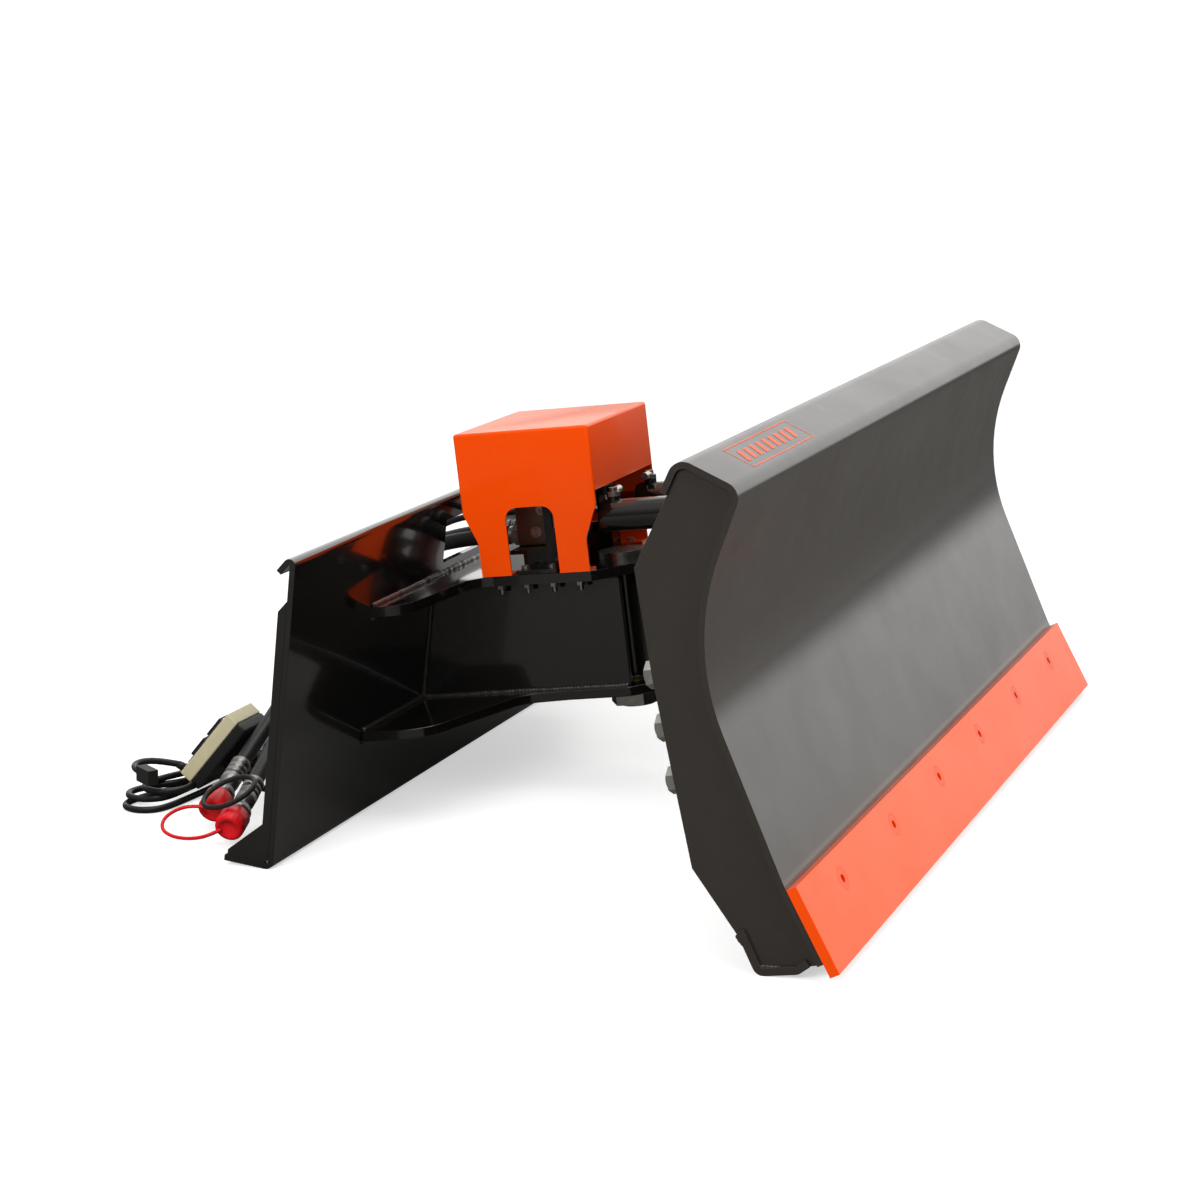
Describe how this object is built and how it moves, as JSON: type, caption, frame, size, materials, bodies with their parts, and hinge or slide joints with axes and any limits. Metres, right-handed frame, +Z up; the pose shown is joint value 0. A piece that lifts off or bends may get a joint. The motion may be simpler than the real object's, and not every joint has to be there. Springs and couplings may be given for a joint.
{
  "type": "skid steer dozer blade",
  "caption": "Six-way hydraulic dozer and snow blade attachment: curved blade on an angling, tilting head, quick-attach plate, orange valve cover.",
  "frame": {"origin": "bottom centre of the machine's box on the floor, measured without the loose hoses and cables", "axes": "+X forward from the quick-attach plate to the cutting edge, +Y across the blade to its left-hand end as seen from in front, +Z up"},
  "size_m": [1.1579, 1.524, 0.6025],
  "materials": {
    "black_paint": "gloss",
    "blade_paint": "satin",
    "orange_paint": "gloss",
    "orange_bolt": "gloss",
    "zinc": "satin",
    "bronze": "satin",
    "valve_body": "satin",
    "coil_plastic": "matte",
    "chrome_rod": "polished",
    "hose_rubber": "satin",
    "dark_steel": "satin",
    "red_plastic": "gloss",
    "black_rubber": "matte",
    "cable_jacket": "satin",
    "black_plastic": "matte",
    "beige_plastic": "matte",
    "chrome_trim": "polished"
  },
  "bodies": {
    "frame": {"attach_plate": "black_paint", "attach_gussets": "black_paint", "frame_top_plate": "black_paint", "frame_bottom_plate": "black_paint", "frame_side_plates": "black_paint", "cylinder_lugs": "black_paint", "kingpin": "zinc", "valve_bracket": "black_paint", "valve_block": "valve_body", "solenoid_coils": "coil_plastic", "valve_trim": "zinc", "valve_cover": "orange_paint", "deck_screws": "zinc", "supply_hose": "hose_rubber", "return_hose": "hose_rubber", "couplers": "dark_steel", "dust_caps": "red_plastic", "cap_strap": "red_plastic", "tether_ring": "black_rubber", "harness_lead": "cable_jacket", "control_lead": "cable_jacket", "plug_lead": "cable_jacket", "harness_hank": "cable_jacket", "hank_tie": "black_plastic", "control_front": "beige_plastic", "control_back": "black_plastic", "control_trim": "chrome_trim", "harness_plugs": "black_plastic"},
    "swing_head": {"swing_head": "black_paint", "kingpin_bushes": "bronze", "tilt_pin": "zinc", "head_pins": "zinc"},
    "blade": {"moldboard": "blade_paint", "end_plates": "blade_paint", "blade_frame": "blade_paint", "blade_mount": "blade_paint", "tilt_lug": "blade_paint", "tilt_bushes": "bronze", "wing_bars": "blade_paint", "wing_bolts": "zinc", "skid_shoes": "blade_paint", "cutting_edge": "orange_paint", "plow_bolts": "orange_bolt"},
    "angle_barrel_left": {"angle_barrel_left": "black_paint", "angle_gland_left": "black_paint", "angle_elbows_left": "zinc"},
    "angle_barrel_right": {"angle_barrel_right": "black_paint", "angle_gland_right": "black_paint", "angle_elbows_right": "zinc"},
    "angle_rod_left": {"angle_rod_left": "chrome_rod", "angle_rod_pin_left": "zinc"},
    "angle_rod_right": {"angle_rod_right": "chrome_rod", "angle_rod_pin_right": "zinc"},
    "tilt_barrel": {"tilt_barrel": "black_paint", "tilt_gland": "black_paint"},
    "tilt_rod": {"tilt_rod": "chrome_rod"},
    "rocker_angle": {"rocker_angle": "black_plastic"},
    "rocker_tilt": {"rocker_tilt": "black_plastic"}
  },
  "joints": [
    {"name": "blade_angle", "type": "hinge", "parent": "frame", "child": "swing_head", "pos_m": [-0.08142, 0, 0.2331], "axis": [-0.1219, 0, 0.9925], "range_deg": [-20, 20]},
    {"name": "blade_tilt", "type": "hinge", "parent": "swing_head", "child": "blade", "pos_m": [0.18087, 0, 0.27135], "axis": [0.9925, 0, 0.1219], "range_deg": [-8, 8]},
    {"name": "angle_barrel_left_swing", "type": "hinge", "parent": "swing_head", "child": "angle_barrel_left", "pos_m": [0.10133, -0.078, 0.42682], "axis": [-0.1219, 0, 0.9925], "range_deg": [-3.6, 3.6]},
    {"name": "angle_rod_left_slide", "type": "slide", "parent": "angle_barrel_left", "child": "angle_rod_left", "axis": [-0.9925, 0, -0.1219], "range_m": [-0.0285, 0.0285]},
    {"name": "angle_barrel_right_swing", "type": "hinge", "parent": "swing_head", "child": "angle_barrel_right", "pos_m": [0.10133, 0.078, 0.42682], "axis": [-0.1219, 0, 0.9925], "range_deg": [-3.6, 3.6]},
    {"name": "angle_rod_right_slide", "type": "slide", "parent": "angle_barrel_right", "child": "angle_rod_right", "axis": [-0.9925, 0, -0.1219], "range_m": [-0.0285, 0.0285]},
    {"name": "tilt_barrel_swing", "type": "hinge", "parent": "swing_head", "child": "tilt_barrel", "pos_m": [0.16381, -0.07, 0.41031], "axis": [0.9925, 0, 0.1219], "range_deg": [-6.2, 6.2]},
    {"name": "tilt_rod_slide", "type": "slide", "parent": "tilt_barrel", "child": "tilt_rod", "axis": [0, 1, 0], "range_m": [-0.0205, 0.0205]},
    {"name": "rocker_angle_press", "type": "hinge", "parent": "frame", "child": "rocker_angle", "pos_m": [-0.6199, -0.275, 0.06645], "axis": [0, 1, 0], "range_deg": [-8, 8], "stiffness_Nm_per_rad": 0.12},
    {"name": "rocker_tilt_press", "type": "hinge", "parent": "frame", "child": "rocker_tilt", "pos_m": [-0.59419, -0.275, 0.0971], "axis": [0, 1, 0], "range_deg": [-8, 8], "stiffness_Nm_per_rad": 0.12}
  ],
  "couplings": [
    {"joint": "angle_barrel_left_swing", "follows": "blade_angle", "ratio": -0.1725},
    {"joint": "angle_barrel_right_swing", "follows": "blade_angle", "ratio": -0.1725},
    {"joint": "angle_rod_left_slide", "follows": "blade_angle", "m_per_rad": 0.0775},
    {"joint": "angle_rod_right_slide", "follows": "blade_angle", "m_per_rad": -0.0775},
    {"joint": "tilt_barrel_swing", "follows": "blade_tilt", "ratio": 0.73},
    {"joint": "tilt_rod_slide", "follows": "blade_tilt", "m_per_rad": -0.14}
  ]
}
